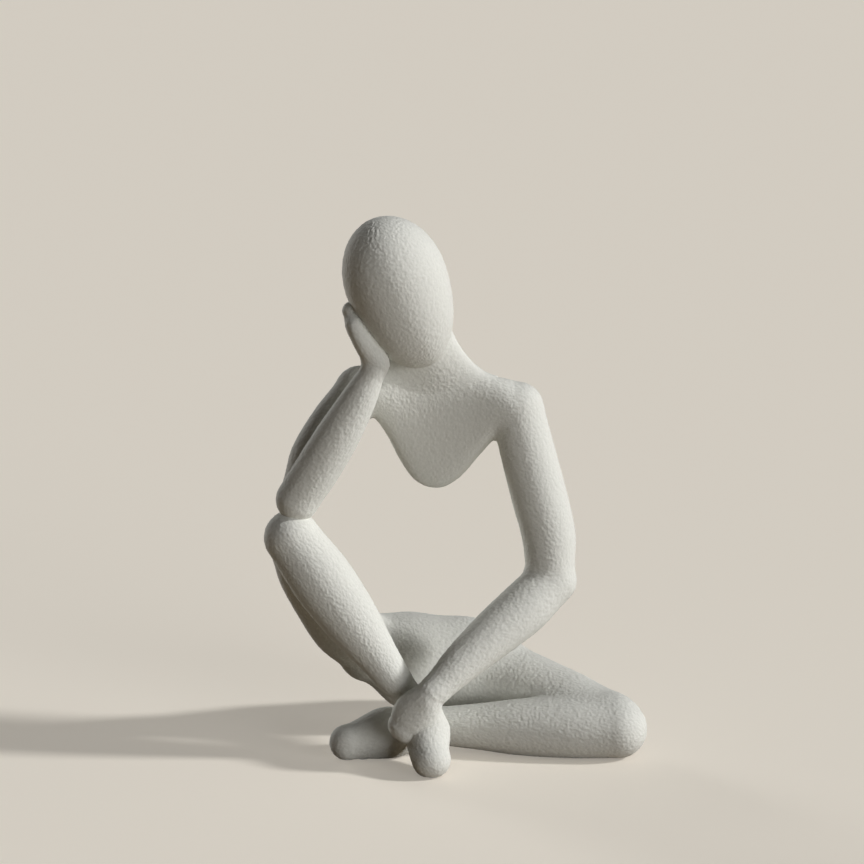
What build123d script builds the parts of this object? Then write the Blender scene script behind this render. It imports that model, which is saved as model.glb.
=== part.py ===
"""Seated thinker ornament: a faceless figure with an open waist, cast in stone-like resin.

The figure is made of separate castings that meet on joint faces. A steel dowel crosses every joint and every
place where two limbs touch, and small rubber bumpers under the seat, the folded leg and the feet carry it.
+X is to the viewer's right, -Y is the side that the figure faces, +Z is up. Left and right are the figure's own.
"""

import os
from math import cos, radians, sin

from build123d import *

# Main sizes of the pose: how high the shoulders and the raised knee are, and how far the knees reach to each side.
SHOULDER_HEIGHT = 165
SHOULDER_DROP = 7
RAISED_KNEE_HEIGHT = 102
RIGHT_KNEE_REACH = 73.6
LEFT_KNEE_REACH = 74.5

# Radii at the joints.
RIGHT_SHOULDER_RADIUS = 11.5
LEFT_SHOULDER_RADIUS = 12
RIGHT_ELBOW_RADIUS = 9.4
LEFT_ELBOW_RADIUS = 10.8
RIGHT_WRIST_RADIUS = 5.4
LEFT_WRIST_RADIUS = 6.9
RIGHT_HIP_RADIUS = 14
LEFT_HIP_RADIUS = 25.8
RIGHT_KNEE_RADIUS = 12.6
LEFT_KNEE_RADIUS = 12.8
RIGHT_ANKLE_RADIUS = 7
LEFT_ANKLE_RADIUS = 8.6
RIGHT_TOE_RADIUS = 8.2
LEFT_TOE_RADIUS = 8.2

# How deep the resting limbs are pressed flat against the ground, the seat and the knee under the elbow.
SEAT_PRESS = 2
TOE_PRESS = 0.8
ELBOW_PRESS = 2.6

# Joint centres of the pose, in millimetres. Those that rest on something take their height from it.
RIGHT_SHOULDER = Vector(-42.5, 8, SHOULDER_HEIGHT)
LEFT_SHOULDER = Vector(28, 6, SHOULDER_HEIGHT - SHOULDER_DROP)
LEFT_ELBOW = Vector(45.8, -4, 79.3)
RIGHT_HIP = Vector(-41, 28, 36)
LEFT_HIP = Vector(7, 38, LEFT_HIP_RADIUS - SEAT_PRESS)
RIGHT_KNEE = Vector(-RIGHT_KNEE_REACH, -11, RAISED_KNEE_HEIGHT)
ELBOW_OVER_KNEE = Vector(2.5, -3, 19).normalized()
RIGHT_ELBOW = RIGHT_KNEE + ELBOW_OVER_KNEE * (RIGHT_KNEE_RADIUS + RIGHT_ELBOW_RADIUS - ELBOW_PRESS)
LEFT_KNEE = Vector(LEFT_KNEE_REACH, -15, LEFT_KNEE_RADIUS)
RIGHT_ANKLE = Vector(-18.9, -20, 25.8)
LEFT_ANKLE = Vector(-14, -5, 11.5)

# The neck stands between the shoulders and carries the head.
NECK_BASE = (RIGHT_SHOULDER + LEFT_SHOULDER) * 0.5 + Vector(1.25, 2, 1.5)
NECK_TOP = NECK_BASE + Vector(-9, -13, 37)
HEAD_MIDDLE = NECK_TOP + Vector(-11.6, -10, 19.8)

# The right hand is held to the head and the left one to the right ankle.
RIGHT_WRIST = HEAD_MIDDLE + Vector(-8, -5, -36.8)
RIGHT_FINGERTIP = HEAD_MIDDLE + Vector(-21.2, 1, -11.3)
LEFT_WRIST = RIGHT_ANKLE + Vector(7.9, -14, 10.2)
LEFT_FINGERTIP = RIGHT_ANKLE + Vector(-7.1, -15, -10.8)

# Ends of the feet.
RIGHT_TOE = Vector(-10.5, -41.2, RIGHT_TOE_RADIUS - TOE_PRESS)
LEFT_TOE = Vector(-49, -19, LEFT_TOE_RADIUS)

# Radii between the joints, at even steps from the first joint of the limb to the second.
RIGHT_UPPER_ARM_SWELL = (12.2, 11.8)
LEFT_UPPER_ARM_SWELL = (12.5, 12.4)
RIGHT_FOREARM_SWELL = (10.1, 9.3, 7.3)
LEFT_FOREARM_SWELL = (11, 10.2, 8.8)
RIGHT_THIGH_SWELL = (16.8, 17, 15.8)
LEFT_THIGH_SWELL = (20.4, 18, 15.6)
RIGHT_SHIN_SWELL = (14.1, 12.5, 8.8)
LEFT_SHIN_SWELL = (14.2, 13, 10.2)
PELVIS_SWELL = (22.3, 24)
RIGHT_FOOT_SWELL = (9.6,)
LEFT_FOOT_SWELL = (11.4,)

# Head: an egg turned about a tilted axis, widest above its middle.
HEAD_RADIUS = 22.8
CROWN_LENGTH = 28.96
CHIN_LENGTH = 37.2
HEAD_LEAN = 20.5
HEAD_BOW = 8

# Neck: half widths and half depths of its oval sections, from the chest up.
NECK_HALF_WIDTHS = (25, 23, 16.8, 13, 11.8, 11.4)
NECK_HALF_DEPTHS = (6.5, 7.5, 9.6, 11, 11.6, 12)

# Chest: oval sections across the line of the shoulders. Each is its share of the way from the right shoulder to
# the left, its lower and upper edge measured from that line, and half its thickness.
CHEST_SECTIONS = (
    (0.13, -16.8, 13.0, 10.4),
    (0.21, -26.0, 13.4, 9.8),
    (0.29, -35.8, 13.8, 9.3),
    (0.38, -42.4, 14.2, 8.9),
    (0.47, -44.5, 14.4, 8.7),
    (0.57, -42.0, 14.4, 8.8),
    (0.67, -33.4, 14.2, 9.2),
    (0.77, -22.8, 13.6, 9.9),
    (0.88, -14.4, 12.8, 10.9),
)
CHEST_LEAN = 14

# Hands: half widths and half thicknesses of their oval sections from the wrist to the fingertips.
RIGHT_HAND_HALF_WIDTHS = (RIGHT_WRIST_RADIUS, 6.8, 9, 10, 9.6, 6)
RIGHT_HAND_HALF_THICKNESSES = (RIGHT_WRIST_RADIUS, 5.3, 4.8, 4.4, 3.8, 2.2)
LEFT_HAND_HALF_WIDTHS = (LEFT_WRIST_RADIUS, 8.4, 9.8, 10.2, 9.4, 6)
LEFT_HAND_HALF_THICKNESSES = (LEFT_WRIST_RADIUS, 7.2, 7, 6.6, 5.6, 3.2)
RIGHT_HAND_ACROSS = Vector(0.2, 1, 0.1)
LEFT_HAND_ACROSS = Vector(1, -0.3, -0.6)

# Joint faces: share of the bend that the nearer limb gets, and how far the face lies behind the joint centre.
ELBOW_SHARE = 0.5
KNEE_SHARE = 0.42
FOLD_OFFSET = 5

# Steel dowels and the glue around them.
DOWEL_RADIUS = 1.5
DOWEL_LENGTH = 11
HIP_DOWEL_RADIUS = 2.5
HIP_DOWEL_LENGTH = 18
CONTACT_DOWEL_RADIUS = 1
CONTACT_DOWEL_LENGTH = 6.4
FOLD_DOWEL_RISE = 14
PALM_SHARE = 0.55
INSTEP_SHARE = 0.4
GLUE_GAP = 0.05

# Rubber bumpers under the figure.
BUMPER_HEIGHT = 1
SEAT_BUMPER_RADIUS = 4.5
LIMB_BUMPER_RADIUS = 3
SEAT_BUMPER_SHARE = 0.76
THIGH_BUMPER_SHARE = 0.16
LIMB_BUMPER_SHARE = 0.2

# Larger than the whole figure, for cutting with half spaces.
REACH = 400


def frame_along(origin, direction, across=None):
    """Plane at origin whose normal runs along direction, with its x axis near across."""
    if across is None:
        return Plane(origin, z_dir=direction)
    normal = direction.normalized()
    return Plane(origin, x_dir=across - normal * across.dot(normal), z_dir=normal)


def half_space(origin, normal):
    """Block that fills the side of a plane that its normal points to."""
    block = Box(REACH, REACH, REACH, align=(Align.CENTER, Align.CENTER, Align.MIN))
    return frame_along(origin, normal) * block


def spindle(start, end, radii, gap=0):
    """Limb turned about the line from start to end, with a ball of the first and last radius at its ends."""
    axis = end - start
    step = axis.length / (len(radii) - 1)
    stations = [(radius + gap, index * step) for index, radius in enumerate(radii)]
    first = stations[0][0]
    last = stations[-1][0]
    start_ball = CenterArc((0, 0), first, -90, 90)
    side = Spline(*stations, tangents=[(0, 1), (0, 1)])
    end_ball = CenterArc((0, axis.length), last, 0, 90)
    core = Line((0, axis.length + last), (0, -first))
    profile = Plane.XZ * make_face([start_ball, side, end_ball, core])
    return frame_along(start, axis) * revolve(profile, Axis.Z)


def oval_loft(start, end, half_widths, half_depths, across):
    """Loft through oval sections at even steps from start to end, with their widths along across."""
    axis = end - start
    count = len(half_widths) - 1
    sections = [
        frame_along(start + axis * (index / count), axis, across) * Ellipse(width, depth)
        for index, (width, depth) in enumerate(zip(half_widths, half_depths))
    ]
    return loft(sections)


def bend(joint, kept, other, share=0.5):
    """Line that splits the bend at a joint, and the normal of the face through it, towards the kept limb."""
    towards = (kept - joint).normalized()
    away = (other - joint).normalized()
    angle = towards.get_angle(away)
    part = towards * sin(radians(angle * (1 - share)))
    rest = away * sin(radians(angle * share))
    line = (part + rest).normalized()
    return line, (towards - line * towards.dot(line)).normalized()


def oval_quarter(radius, length):
    """Quarter of an oval from its side to its end, as a smooth curve through points of its formula."""
    points = [(radius * cos(radians(angle)), length * sin(radians(angle))) for angle in range(0, 91, 15)]
    return Spline(*points, tangents=[(0, length), (-1, 0)])


def egg(gap=0):
    """Head turned about its tilted axis: half an ellipsoid for the crown and a longer one for the chin."""
    chin = oval_quarter(HEAD_RADIUS + gap, -CHIN_LENGTH - gap)
    crown = oval_quarter(HEAD_RADIUS + gap, CROWN_LENGTH + gap)
    core = Line(crown @ 1, chin @ 1)
    profile = Plane.XZ * make_face([chin, crown, core])
    up = Vector(-sin(radians(HEAD_LEAN)), -sin(radians(HEAD_BOW)), cos(radians(HEAD_LEAN)))
    return frame_along(HEAD_MIDDLE, up) * revolve(profile, Axis.Z)


def chest():
    """Sheet between the shoulders that hangs down in a rounded tongue, with half a ball at each shoulder."""
    line = LEFT_SHOULDER - RIGHT_SHOULDER
    side = Vector(1, 0, 0)
    lean = Vector(0, -sin(radians(CHEST_LEAN)), cos(radians(CHEST_LEAN)))
    depth = Vector(0, cos(radians(CHEST_LEAN)), sin(radians(CHEST_LEAN)))
    sections = [Plane(RIGHT_SHOULDER, x_dir=depth, z_dir=side) * Circle(RIGHT_SHOULDER_RADIUS)]
    for share, lower, upper, half_thickness in CHEST_SECTIONS:
        centre = RIGHT_SHOULDER + line * share + lean * ((lower + upper) / 2)
        plane = Plane(centre, x_dir=depth, z_dir=side)
        sections.append(plane * Ellipse(half_thickness, (upper - lower) / 2))
    sections.append(Plane(LEFT_SHOULDER, x_dir=depth, z_dir=side) * Circle(LEFT_SHOULDER_RADIUS))
    right_ball = Pos(RIGHT_SHOULDER) * Sphere(RIGHT_SHOULDER_RADIUS)
    left_ball = Pos(LEFT_SHOULDER) * Sphere(LEFT_SHOULDER_RADIUS)
    right_cap = right_ball & half_space(RIGHT_SHOULDER, side * -1)
    left_cap = left_ball & half_space(LEFT_SHOULDER, side)
    return loft(sections) + right_cap + left_cap


def torso():
    """Chest with the neck on it, hollowed at the top to seat the head."""
    neck = oval_loft(NECK_BASE, NECK_TOP, NECK_HALF_WIDTHS, NECK_HALF_DEPTHS, Vector(1, 0, 0))
    return chest() + (neck - egg(GLUE_GAP))


def hand(wrist, tip, half_widths, half_thicknesses, across):
    """Mitten that starts a little behind the wrist, so that the joint face can trim it."""
    back = (wrist - tip).normalized() * (half_widths[0] / 2)
    return oval_loft(wrist + back, tip, half_widths, half_thicknesses, across)


def limbs():
    """Every limb in full length, before the joints part them."""
    right_elbow = RIGHT_ELBOW_RADIUS
    left_elbow = LEFT_ELBOW_RADIUS
    right_arm = (RIGHT_SHOULDER_RADIUS, *RIGHT_UPPER_ARM_SWELL, right_elbow)
    left_arm = (LEFT_SHOULDER_RADIUS, *LEFT_UPPER_ARM_SWELL, left_elbow)
    right_forearm = (right_elbow, *RIGHT_FOREARM_SWELL, RIGHT_WRIST_RADIUS)
    left_forearm = (left_elbow, *LEFT_FOREARM_SWELL, LEFT_WRIST_RADIUS)
    pelvis = (RIGHT_HIP_RADIUS, *PELVIS_SWELL, LEFT_HIP_RADIUS)
    right_thigh = (RIGHT_HIP_RADIUS, *RIGHT_THIGH_SWELL, RIGHT_KNEE_RADIUS)
    left_thigh = (LEFT_HIP_RADIUS, *LEFT_THIGH_SWELL, LEFT_KNEE_RADIUS)
    left_shin = (LEFT_KNEE_RADIUS, *LEFT_SHIN_SWELL, LEFT_ANKLE_RADIUS)
    left_foot = (LEFT_ANKLE_RADIUS, *LEFT_FOOT_SWELL, LEFT_TOE_RADIUS)
    return {
        "right_upper_arm": spindle(RIGHT_SHOULDER, RIGHT_ELBOW, right_arm),
        "left_upper_arm": spindle(LEFT_SHOULDER, LEFT_ELBOW, left_arm),
        "right_forearm": spindle(RIGHT_ELBOW, RIGHT_WRIST, right_forearm),
        "left_forearm": spindle(LEFT_ELBOW, LEFT_WRIST, left_forearm),
        "pelvis": spindle(RIGHT_HIP, LEFT_HIP, pelvis),
        "right_thigh": spindle(RIGHT_HIP, RIGHT_KNEE, right_thigh),
        "left_thigh": spindle(LEFT_HIP, LEFT_KNEE, left_thigh),
        "right_shin": right_lower_leg(0),
        "left_shin": spindle(LEFT_KNEE, LEFT_ANKLE, left_shin),
        "right_foot": right_sole(0),
        "left_foot": spindle(LEFT_ANKLE, LEFT_TOE, left_foot),
    }


def right_lower_leg(gap):
    """Raised shin, or the room for it in the hand that lies on it when gap is given."""
    radii = (RIGHT_KNEE_RADIUS, *RIGHT_SHIN_SWELL, RIGHT_ANKLE_RADIUS)
    return spindle(RIGHT_KNEE, RIGHT_ANKLE, radii, gap)


def right_sole(gap):
    """Foot of the raised leg, or the room for it in the hand that lies on it when gap is given."""
    radii = (RIGHT_ANKLE_RADIUS, *RIGHT_FOOT_SWELL, RIGHT_TOE_RADIUS)
    return spindle(RIGHT_ANKLE, RIGHT_TOE, radii, gap)


def hands(pieces):
    """Both mittens, hollowed where the right one holds the cheek and the left one lies on the ankle."""
    right = hand(
        RIGHT_WRIST, RIGHT_FINGERTIP, RIGHT_HAND_HALF_WIDTHS, RIGHT_HAND_HALF_THICKNESSES, RIGHT_HAND_ACROSS
    )
    left = hand(
        LEFT_WRIST, LEFT_FINGERTIP, LEFT_HAND_HALF_WIDTHS, LEFT_HAND_HALF_THICKNESSES, LEFT_HAND_ACROSS
    )
    pieces["right_hand"] = right - egg(GLUE_GAP)
    pieces["left_hand"] = left - right_lower_leg(GLUE_GAP) - right_sole(GLUE_GAP)


def part_limbs(pieces, first, second, origin, normal):
    """Cuts two pieces apart on one plane: the first keeps the side that the normal points to."""
    pieces[first] = pieces[first] & half_space(origin, normal)
    pieces[second] = pieces[second] & half_space(origin, normal * -1)


def add_dowel(pieces, name, first, second, origin, direction, radius, length):
    """Puts a dowel across a joint, centred on its face, with a glued hole for it in both pieces."""
    site = frame_along(origin, direction)
    hole = site * Cylinder(radius + GLUE_GAP, length + 2 * GLUE_GAP)
    pieces[first] = pieces[first] - hole
    pieces[second] = pieces[second] - hole
    pieces[name] = site * Cylinder(radius, length)


def plain_joint(pieces, name, first, second, joint, kept, other):
    """Joint whose face splits the bend evenly, with its dowel through the joint centre."""
    _, normal = bend(joint, kept, other)
    part_limbs(pieces, first, second, joint, normal)
    add_dowel(pieces, name, first, second, joint, normal, DOWEL_RADIUS, DOWEL_LENGTH)


def folded_joint(pieces, name, front, rear, joint, front_end, rear_end, share):
    """Sharply folded joint: the front limb keeps the ball, and the dowel lies up in the fold."""
    line, normal = bend(joint, front_end, rear_end, share)
    face = joint - normal * FOLD_OFFSET
    part_limbs(pieces, front, rear, face, normal)
    site = face + line * FOLD_DOWEL_RISE
    add_dowel(pieces, name, front, rear, site, normal, DOWEL_RADIUS, DOWEL_LENGTH)


def surface_point(solid, outside, inside):
    """Where the line through a point outside a solid to a point inside it goes in."""
    return (Line(outside * 2 - inside, inside) - solid).edges()[0] @ 1


def join_arms(pieces):
    """Shoulders, elbows and wrists."""
    plain_joint(
        pieces, "right_shoulder_dowel", "torso", "right_upper_arm", RIGHT_SHOULDER, LEFT_SHOULDER, RIGHT_ELBOW
    )
    plain_joint(
        pieces, "left_shoulder_dowel", "torso", "left_upper_arm", LEFT_SHOULDER, RIGHT_SHOULDER, LEFT_ELBOW
    )
    folded_joint(
        pieces, "right_elbow_dowel", "right_forearm", "right_upper_arm",
        RIGHT_ELBOW, RIGHT_WRIST, RIGHT_SHOULDER, ELBOW_SHARE,
    )
    plain_joint(
        pieces, "left_elbow_dowel", "left_upper_arm", "left_forearm", LEFT_ELBOW, LEFT_SHOULDER, LEFT_WRIST
    )
    plain_joint(
        pieces, "right_wrist_dowel", "right_forearm", "right_hand", RIGHT_WRIST, RIGHT_ELBOW, RIGHT_FINGERTIP
    )
    plain_joint(
        pieces, "left_wrist_dowel", "left_forearm", "left_hand", LEFT_WRIST, LEFT_ELBOW, LEFT_FINGERTIP
    )


def join_legs(pieces):
    """Hips, knees and ankles."""
    for side, joint, knee, other in (
        ("right", RIGHT_HIP, RIGHT_KNEE, LEFT_HIP),
        ("left", LEFT_HIP, LEFT_KNEE, RIGHT_HIP),
    ):
        thigh = side + "_thigh"
        _, normal = bend(joint, knee, other)
        part_limbs(pieces, thigh, "pelvis", joint, normal)
        name = side + "_hip_dowel"
        add_dowel(pieces, name, thigh, "pelvis", joint, normal, HIP_DOWEL_RADIUS, HIP_DOWEL_LENGTH)
    folded_joint(
        pieces, "right_knee_dowel", "right_shin", "right_thigh",
        RIGHT_KNEE, RIGHT_ANKLE, RIGHT_HIP, KNEE_SHARE,
    )
    folded_joint(
        pieces, "left_knee_dowel", "left_shin", "left_thigh",
        LEFT_KNEE, LEFT_ANKLE, LEFT_HIP, KNEE_SHARE,
    )
    plain_joint(
        pieces, "right_ankle_dowel", "right_shin", "right_foot", RIGHT_ANKLE, RIGHT_KNEE, RIGHT_TOE
    )
    plain_joint(pieces, "left_ankle_dowel", "left_shin", "left_foot", LEFT_ANKLE, LEFT_KNEE, LEFT_TOE)


def join_contacts(pieces):
    """Neck under the head, and the three places where limbs rest on each other."""
    neck_line = NECK_TOP - NECK_BASE
    seat = surface_point(pieces["head"], NECK_BASE, NECK_TOP)
    add_dowel(
        pieces, "neck_dowel", "torso", "head", seat, neck_line, HIP_DOWEL_RADIUS, HIP_DOWEL_LENGTH
    )

    lift = ELBOW_OVER_KNEE
    rest = RIGHT_KNEE + lift * (RIGHT_KNEE_RADIUS - ELBOW_PRESS / 2)
    for upper in ("right_forearm", "right_upper_arm"):
        pieces[upper] = pieces[upper] & half_space(rest, lift)
    for lower in ("right_shin", "right_thigh"):
        pieces[lower] = pieces[lower] & half_space(rest, lift * -1)
    small = (CONTACT_DOWEL_RADIUS, CONTACT_DOWEL_LENGTH)
    add_dowel(pieces, "elbow_rest_dowel", "right_forearm", "right_shin", rest, lift, *small)

    palm = RIGHT_WRIST + (RIGHT_FINGERTIP - RIGHT_WRIST) * PALM_SHARE
    cheek = surface_point(pieces["head"], palm, HEAD_MIDDLE)
    add_dowel(pieces, "cheek_dowel", "right_hand", "head", cheek, HEAD_MIDDLE - palm, *small)

    grip = LEFT_WRIST + (LEFT_FINGERTIP - LEFT_WRIST) * PALM_SHARE
    instep = RIGHT_ANKLE + (RIGHT_TOE - RIGHT_ANKLE) * INSTEP_SHARE
    touch = surface_point(right_sole(0), grip, instep)
    add_dowel(pieces, "ankle_rest_dowel", "left_hand", "right_foot", touch, instep - grip, *small)


def add_bumpers(pieces):
    """Flats under the castings that meet the ground, and the rubber discs stuck to them."""
    floor = half_space(Vector(0, 0, BUMPER_HEIGHT), Vector(0, 0, 1))
    for name in ("pelvis", "left_thigh", "left_shin", "left_foot", "right_foot", "left_hand"):
        pieces[name] = pieces[name] & floor
    places = (
        ("seat_bumper", RIGHT_HIP + (LEFT_HIP - RIGHT_HIP) * SEAT_BUMPER_SHARE, SEAT_BUMPER_RADIUS),
        ("left_thigh_bumper", LEFT_HIP + (LEFT_KNEE - LEFT_HIP) * THIGH_BUMPER_SHARE, SEAT_BUMPER_RADIUS),
        ("left_knee_bumper", LEFT_KNEE + (LEFT_ANKLE - LEFT_KNEE) * LIMB_BUMPER_SHARE, LIMB_BUMPER_RADIUS),
        ("left_foot_bumper", LEFT_TOE + (LEFT_ANKLE - LEFT_TOE) * LIMB_BUMPER_SHARE, LIMB_BUMPER_RADIUS),
        ("right_foot_bumper", RIGHT_TOE, LIMB_BUMPER_RADIUS),
    )
    for name, above, radius in places:
        disc = Cylinder(radius, BUMPER_HEIGHT, align=(Align.CENTER, Align.CENTER, Align.MIN))
        pieces[name] = Pos(above.X, above.Y, 0) * disc


def build():
    """All pieces by node name, with the origin under the middle of the figure on the ground."""
    pieces = {"head": egg(), "torso": torso()}
    pieces.update(limbs())
    hands(pieces)
    join_arms(pieces)
    join_legs(pieces)
    join_contacts(pieces)
    add_bumpers(pieces)
    box = Compound(children=[piece.solid() for piece in pieces.values()]).bounding_box(optimal=True)
    middle = box.center()
    shift = Pos(-middle.X, -middle.Y, -box.min.Z)
    return {name: shift * piece for name, piece in pieces.items()}


def main():
    """Writes every piece as a STEP file named after its node."""
    os.makedirs("parts", exist_ok=True)
    for name, piece in build().items():
        export_step(piece, f"parts/{name}.step")


if __name__ == "__main__":
    main()
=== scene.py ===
"""Seated thinker ornament: grained stone castings, hidden dowels and bumpers, on a pale floor."""

import math

import bpy
import numpy as np
from bpy.props import FloatProperty, FloatVectorProperty, PointerProperty
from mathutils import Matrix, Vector


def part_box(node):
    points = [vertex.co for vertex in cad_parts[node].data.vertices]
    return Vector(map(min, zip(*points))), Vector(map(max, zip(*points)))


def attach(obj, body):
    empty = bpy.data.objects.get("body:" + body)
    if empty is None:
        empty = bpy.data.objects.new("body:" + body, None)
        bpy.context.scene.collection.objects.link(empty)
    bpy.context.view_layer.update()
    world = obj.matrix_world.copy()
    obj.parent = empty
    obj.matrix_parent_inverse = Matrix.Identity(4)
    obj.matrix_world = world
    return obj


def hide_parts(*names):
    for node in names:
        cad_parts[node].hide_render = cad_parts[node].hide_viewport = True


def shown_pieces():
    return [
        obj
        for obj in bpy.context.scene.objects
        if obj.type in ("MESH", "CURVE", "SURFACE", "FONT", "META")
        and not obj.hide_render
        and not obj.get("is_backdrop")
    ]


bl_info = {
    "name": "Seated Thinker Ornament",
    "version": (1, 0, 0),
    "blender": (4, 5, 0),
    "location": "3D View > Sidebar > Thinker",
    "description": "Builds the castings of a seated abstract figure and the floor it sits on",
    "category": "Object",
}

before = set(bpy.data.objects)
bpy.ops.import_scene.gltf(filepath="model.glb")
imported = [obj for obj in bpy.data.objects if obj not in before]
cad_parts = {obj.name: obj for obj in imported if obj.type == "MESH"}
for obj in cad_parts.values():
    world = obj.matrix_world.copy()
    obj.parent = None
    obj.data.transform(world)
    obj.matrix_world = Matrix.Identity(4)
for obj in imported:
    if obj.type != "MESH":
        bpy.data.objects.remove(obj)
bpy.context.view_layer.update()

MILLIMETRE = 0.001
TINY = 1e-9

# Radii of the joints, in millimetres
RIGHT_SHOULDER_RADIUS = 11.2
LEFT_SHOULDER_RADIUS = 12.0
RIGHT_ELBOW_RADIUS = 9.8
LEFT_ELBOW_RADIUS = 11.2
RIGHT_WRIST_RADIUS = 5.4
LEFT_WRIST_RADIUS = 6.9
RIGHT_HIP_RADIUS = 12.8
LEFT_HIP_RADIUS = 25.8
RIGHT_KNEE_RADIUS = 12.6
LEFT_KNEE_RADIUS = 13.4
RIGHT_ANKLE_RADIUS = 6.9
LEFT_ANKLE_RADIUS = 8.6
RIGHT_TOE_RADIUS = 8.8
LEFT_TOE_RADIUS = 8.2

# How much thinner the limb at the back of a fold ends than the one in front of it
FOLD_TUCK = 0.4

# The castings stop this high above the floor; the bumpers fill the rest
GROUND_CLEARANCE = 1.0

UPWARD = np.array((0.0, 0.0, 1.0))
BACKWARD = np.array((0.0, 1.0, 0.0))
RIGHTWARD = np.array((1.0, 0.0, 0.0))


def unit(vectors):
    """The same directions with length one."""
    vectors = np.asarray(vectors, float)
    return vectors / (np.linalg.norm(vectors, axis=-1, keepdims=True) + TINY)


def square_to(direction, line):
    """The direction turned the least that makes it square to a line."""
    along_line = unit(line)
    return unit(direction - along_line * np.dot(direction, along_line))


def joint(dowel):
    """Middle of a joint: the middle of the steel dowel that pins it."""
    low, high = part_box(dowel)
    return np.array((low + high) / 2) / MILLIMETRE


# The pose is measured from a point on the floor; the right shoulder is at this place in it
SHOULDER_IN_POSE = (-42.5, 8.0, 165.0)
POSE_ORIGIN = joint("right_shoulder_dowel") - SHOULDER_IN_POSE


def posed(x, y, z):
    """Point of the pose, in millimetres, moved to where the solids hold it."""
    return POSE_ORIGIN + (x, y, z)


# Joint positions, in millimetres: pinned ones from their dowels, the others measured in the pose
RIGHT_SHOULDER = joint("right_shoulder_dowel") + (-0.8, 0.0, 0.8)
LEFT_SHOULDER = joint("left_shoulder_dowel")
LEFT_ELBOW = joint("left_elbow_dowel") + (-1.9, 0.0, 1.0)
RIGHT_WRIST = joint("right_wrist_dowel")
LEFT_WRIST = joint("left_wrist_dowel")
RIGHT_HIP = joint("right_hip_dowel")
LEFT_HIP = joint("left_hip_dowel")
RIGHT_ANKLE = joint("right_ankle_dowel")
LEFT_ANKLE = joint("left_ankle_dowel")
RIGHT_ELBOW = posed(-70.9, -11.0, 119.6)
RIGHT_KNEE = posed(-73.6, -11.0, 102.0)
LEFT_KNEE = posed(73.9, -15.0, 13.4)
RIGHT_TOE = posed(-11.0, -41.2, 8.0)
LEFT_TOE = posed(-49.0, -19.0, 8.2)
RIGHT_FINGERTIP = posed(-45.8, -16.0, 206.4)
LEFT_FINGERTIP = posed(-22.9, -34.1, 19.6)

# Egg of the head
HEAD_MIDDLE = posed(-26.6, -14.0, 219.8)
HEAD_RADIUS = 22.8
HEAD_CROWN = 28.9
HEAD_CHIN = 42.0
HEAD_LEAN = math.radians(19.0)
HEAD_BOW = math.radians(8.0)
HEAD_UP = unit((-math.sin(HEAD_LEAN), -math.sin(HEAD_BOW), math.cos(HEAD_LEAN)))

# Chest stations from the right shoulder to the left: lower edge, upper edge and half thickness
CHEST_LEAN = math.radians(14.0)
CHEST_UP = np.array((0.0, -math.sin(CHEST_LEAN), math.cos(CHEST_LEAN)))
CHEST_BACK = np.array((0.0, math.cos(CHEST_LEAN), math.sin(CHEST_LEAN)))
CHEST_LOWER = np.array((-11.2, -11.4, -20.0, -32.2, -41.2, -44.4, -43.2, -36.6, -24.6, -13.8, -12.0))
CHEST_UPPER = np.array((11.2, 12.2, 13.3, 13.8, 14.2, 14.4, 14.4, 14.2, 13.9, 13.2, 12.0))
CHEST_THICKNESS = np.array((11.2, 10.6, 9.9, 9.2, 8.8, 8.7, 8.9, 9.4, 10.2, 11.2, 12.0))

# Neck, with its stations from the base to the top
NECK_BASE = posed(-5.7, 12.2, 156.0)
NECK_TOP = posed(-18.0, 1.5, 200.0)
NECK_WIDTHS = (17.8, 16.2, 14.8, 13.8, 13.6)
NECK_DEPTHS = (6.0, 8.4, 9.6, 9.6, 8.0)
NECK_FLARE = 11.0
NECK_SINK = 0.12
NECK_FOOT = 0.42
NECK_DROOP = math.radians(72.0)
NECK_REACH = 30.0
NECK_PLUG = 8.0


def along(stations, share):
    """Cubic through evenly spaced stations: level at both ends, and at each station between them
    parallel to the line that joins its two neighbours."""
    stations = np.asarray(stations, float)
    slopes = np.zeros_like(stations)
    slopes[1:-1] = (stations[2:] - stations[:-2]) / 2
    place = np.clip(share, 0.0, 1.0) * (len(stations) - 1)
    index = np.minimum(place.astype(int), len(stations) - 2)
    t = place - index
    rise = t * t * (3 - 2 * t)
    leave = t * (1 - t) ** 2
    arrive = t * t * (t - 1)
    return (stations[index] * (1 - rise) + stations[index + 1] * rise
            + slopes[index] * leave + slopes[index + 1] * arrive)


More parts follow.
